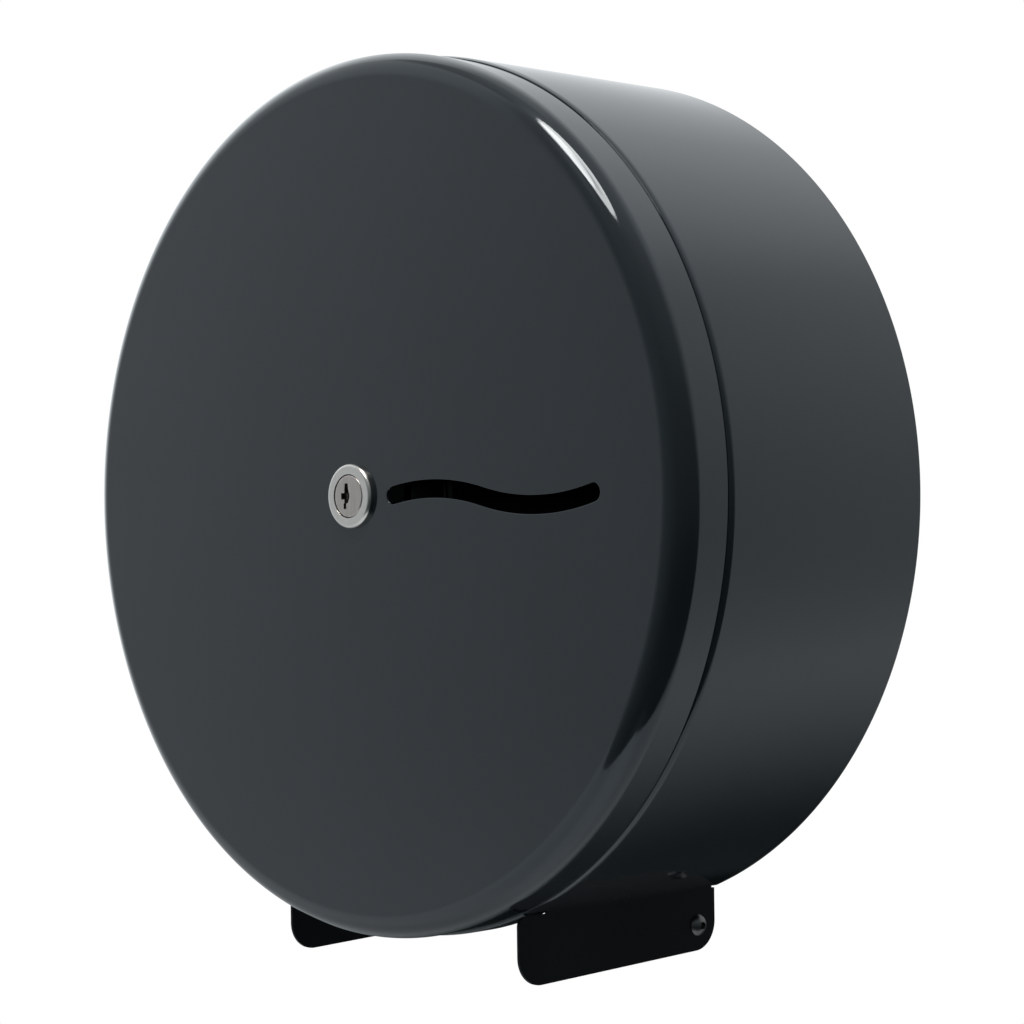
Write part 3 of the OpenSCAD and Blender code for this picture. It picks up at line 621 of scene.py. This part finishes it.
FINISHES = {
    "paint_graphite": (paint, dict(rear=GRAPHITE, front=GRAPHITE, level=0.5, roughness=0.06)),
    # the dark paint: darker at the wall and lighter, bluer at the front, painted shade and painted light
    "paint_dark": (paint, dict(rear=(0.0016, 0.0018, 0.002), front=(0.0048, 0.0066, 0.008), level=0.06,
                               roughness=0.3)),
    # a lighter copy of the dark paint for the inner parts, painted light, and lighter still towards the front: painted
    # light there and painted shade at the wall
    "paint_inner": (paint, dict(rear=(0.0060, 0.0070, 0.0078), front=(0.0070, 0.0082, 0.0092), level=0.25,
                                roughness=0.28)),
    "zinc_steel": (metal, dict(colour=(0.5, 0.52, 0.54), roughness=0.34, grain_scale=90)),
    "black_steel": (metal, dict(colour=(0.1, 0.1, 0.103), roughness=0.3, grain_scale=300)),
    "nickel": (metal, dict(colour=(0.487, 0.48, 0.46), roughness=0.22, grain_scale=500, tone=0.06)),
    "zinc_plug": (metal, dict(colour=(0.35, 0.327, 0.312), roughness=0.26, grain_scale=900, tone=0.16, brushed=0.06)),
    "black_nylon": (plastic, dict(colour=(0.012, 0.012, 0.013), roughness=0.5, grain_scale=900)),
    "hub_plastic": (plastic, dict(colour=(0.024, 0.025, 0.026), roughness=0.4, grain_scale=700)),
}
materials = {name: make(name, **values) for name, (make, values) in FINISHES.items()}

slot_of = {row["node"]: row["material_slot"] for row in frame["record"]["subparts"]}
# each part takes its slot's finish, and the inner parts the lighter copy of the dark paint, painted light
for name, node in frame["nodes"].items():
    node.data.materials.clear()
    node.data.materials.append(materials["paint_inner" if name in INNER_NODES else slot_of[name]])

make_lid()
make_drum()
make_lock_body()
make_plug_face()


# ---------- studio ----------

def direction(azimuth, elevation):
    """The unit vector towards a place in the studio."""
    a, e = math.radians(azimuth), math.radians(elevation)
    return Vector((math.cos(a) * math.cos(e), math.sin(a) * math.cos(e), math.sin(e)))


def make_world():
    """White for the camera. For everything else a pale room over a pale floor, with a bright panel on the left, a dark
    room in front on the right, a dark patch low behind on the right and a round lamp above."""
    world = bpy.data.worlds.new("studio")
    bpy.context.scene.world = world
    world.use_nodes = True
    world.node_tree.nodes.clear()
    nodes = Nodes(world.node_tree)
    total, times, step = nodes.total, nodes.times, nodes.smooth

    def minus(a, b):
        return nodes.math("SUBTRACT", a, b)

    def over(a, b):
        return nodes.math("DIVIDE", a, b)

    def blend(share, a, b):
        """a where share is 0 and b where it is 1."""
        return total(times(minus(1, share), a), times(share, b))

    def spot(azimuth, elevation, near, far, middle, around):
        """One value up to near degrees from a direction, and another beyond far degrees."""
        towards = nodes.vector("DOT_PRODUCT", way, direction(azimuth, elevation)).outputs["Value"]
        return step(towards, math.cos(math.radians(far)), math.cos(math.radians(near)), around, middle)

    way = nodes.add("ShaderNodeTexCoord").outputs["Generated"]
    x, y, z = nodes.split(way)
    turn = nodes.math("DEGREES", nodes.math("ARCTAN2", y, x))
    rise = nodes.math("DEGREES", nodes.math("ARCSINE", z))

    # the wall of light on the left, with a dark band above it that sinks towards the back
    tilted = minus(rise, times(total(turn, 180), BAND_SINK))
    panel = times(step(rise, *PANEL_RISE), step(tilted, *PANEL_TOP))
    band = total(step(tilted, *BAND_FOOT), step(tilted, *BAND_HEAD))
    left = total(panel, band, times(step(turn, *BACK_LEFT_TURN), step(rise, *BACK_LEFT_RISE)))

    # the room on the right and behind, brightest half way up
    right = times(total(step(rise, *ROOM_FOOT), step(rise, *ROOM_MIDDLE), step(rise, *ROOM_HEAD)),
                  step(turn, *ROOM_TURN))
    lit = blend(step(turn, *LEFT_TO_ROOM), left, right)

    # the unlit room in front
    dim = total(step(rise, *DIM_FOOT), step(rise, *DIM_MIDDLE), step(rise, *DIM_HEAD),
                times(step(turn, *DIM_LEFT_TURN), step(rise, *DIM_LEFT_RISE)))
    beginning = step(over(minus(turn, step(rise, *DIM_START)), step(rise, *DIM_START_WIDTH)), 0, 1)
    bound = step(rise, *DIM_BOUND)
    ending = step(over(minus(turn, bound), minus(DIM_END, bound)), 0, 1, 1, 0)
    shade = blend(times(beginning, ending), lit, dim)

    # the pale floor with its front and side edge
    depth = nodes.math("MAXIMUM", times(z, -1), FLOOR_LEAST_DEPTH)
    floor_x, floor_y = over(x, depth), over(y, depth)
    front = minus(total(floor_y, FLOOR_FRONT_AT), times(floor_x, FLOOR_FRONT_SLOPE))
    side = minus(total(times(floor_y, FLOOR_SIDE_SLOPE), FLOOR_SIDE_AT), floor_x)
    side = over(side, total(1, times(nodes.math("MAXIMUM", floor_y, 0), FLOOR_SIDE_BEND)))
    share = times(step(nodes.math("MINIMUM", front, side), *FLOOR_SOFT_EDGE), step(rise, *FLOOR_RISE))
    shade = blend(share, shade, step(floor_y, *FLOOR_LEVEL))

    for dark in DARK_SPOTS:
        shade = times(shade, spot(*dark, 1))
    shade = total(shade, *(spot(*pale, 0) for pale in PALE_SPOTS))
    key = times(spot(*KEY_DISC, 0), spot(*KEY_SPOT, 1))

    light_path = nodes.add("ShaderNodeLightPath")
    level = step(light_path.outputs["Is Diffuse Ray"], 0, 1, GLOSS_LEVEL, DIFFUSE_LEVEL)
    room, lamp, white = (nodes.add("ShaderNodeBackground") for _ in range(3))
    for shader, colour in ((lamp, LAMP_COLOUR), (white, (1, 1, 1))):
        shader.inputs["Color"].default_value = (*colour, 1)
    nodes.join(nodes.ramp(shade, (0, DARK_COLOUR), (PALE_SHADE, PALE_COLOUR)), room.inputs["Color"])
    nodes.join(times(shade, level), room.inputs["Strength"])
    nodes.join(times(key, level), lamp.inputs["Strength"])
    studio = nodes.add("ShaderNodeAddShader")
    nodes.join(room.outputs[0], studio.inputs[0])
    nodes.join(lamp.outputs[0], studio.inputs[1])
    seen = nodes.mix(light_path.outputs["Is Camera Ray"], studio.outputs[0], white.outputs[0])
    nodes.join(seen, nodes.add("ShaderNodeOutputWorld").inputs["Surface"])


def make_key_light():
    """The bright middle of the round lamp above and in front."""
    way = direction(SUN_TURN, SUN_RISE)
    half = math.radians(SUN_HALF)
    lamp = bpy.data.lights.new("key", "SUN")
    lamp.angle = 2 * half
    lamp.energy = SUN_LEVEL * math.pi * math.sin(half) ** 2
    lamp.color = LAMP_COLOUR
    key = link("key", lamp)
    key.location = way * SUN_FAR
    key.rotation_mode = "QUATERNION"
    key.rotation_quaternion = way.to_track_quat("Z", "Y")


def make_floor():
    """A round pale floor well below the dispenser, white where it ends."""
    mesh = bpy.data.meshes.new("floor")
    mesh.from_pydata([(x, y, FLOOR_Z) for x, y in circle(FLOOR_R, FLOOR_STEPS)], [], [list(range(FLOOR_STEPS))])
    floor = link("floor", mesh)
    floor.visible_glossy = False
    material, nodes, shader, place = new_material("floor")
    shader.inputs["Base Color"].default_value = (*FLOOR_COLOUR, 1)
    shader.inputs["Roughness"].default_value = FLOOR_ROUGHNESS
    shader.inputs["Specular IOR Level"].default_value = 0
    flat = nodes.vector("MULTIPLY", place, (1, 1, 0)).outputs[0]
    reach = nodes.vector("LENGTH", flat).outputs["Value"]
    edge = nodes.smooth(reach, *(share * FLOOR_R for share in FLOOR_FADE))
    fade = nodes.times(edge, nodes.add("ShaderNodeLightPath").outputs["Is Camera Ray"])
    glow = nodes.add("ShaderNodeEmission")
    glow.inputs["Color"].default_value = (1, 1, 1, 1)
    seen = nodes.mix(fade, shader.outputs[0], glow.outputs[0])
    nodes.join(seen, material.node_tree.nodes["Material Output"].inputs["Surface"])
    mesh.materials.append(material)


def make_camera():
    """The photograph's viewpoint: level with the lock, about 45 degrees to the right."""
    ahead = direction(90 + math.degrees(CAMERA_YAW), math.degrees(CAMERA_PITCH))
    right = ahead.cross(Vector((0, 0, 1))).normalized()
    up = right.cross(ahead)
    c, s = math.cos(CAMERA_ROLL), math.sin(CAMERA_ROLL)
    right, up = c * right + s * up, c * up - s * right
    data = bpy.data.cameras.new("camera")
    data.sensor_width = CAMERA_SENSOR
    data.lens = CAMERA_LENS
    data.clip_start = CAMERA_NEAR
    camera = link("camera", data)
    camera.matrix_world = Matrix.Translation(CAMERA_AT) @ Matrix((right, up, -ahead)).transposed().to_4x4()
    bpy.context.scene.camera = camera


make_world()
make_key_light()
make_floor()
make_camera()
bpy.context.scene.view_settings.view_transform = "Standard"
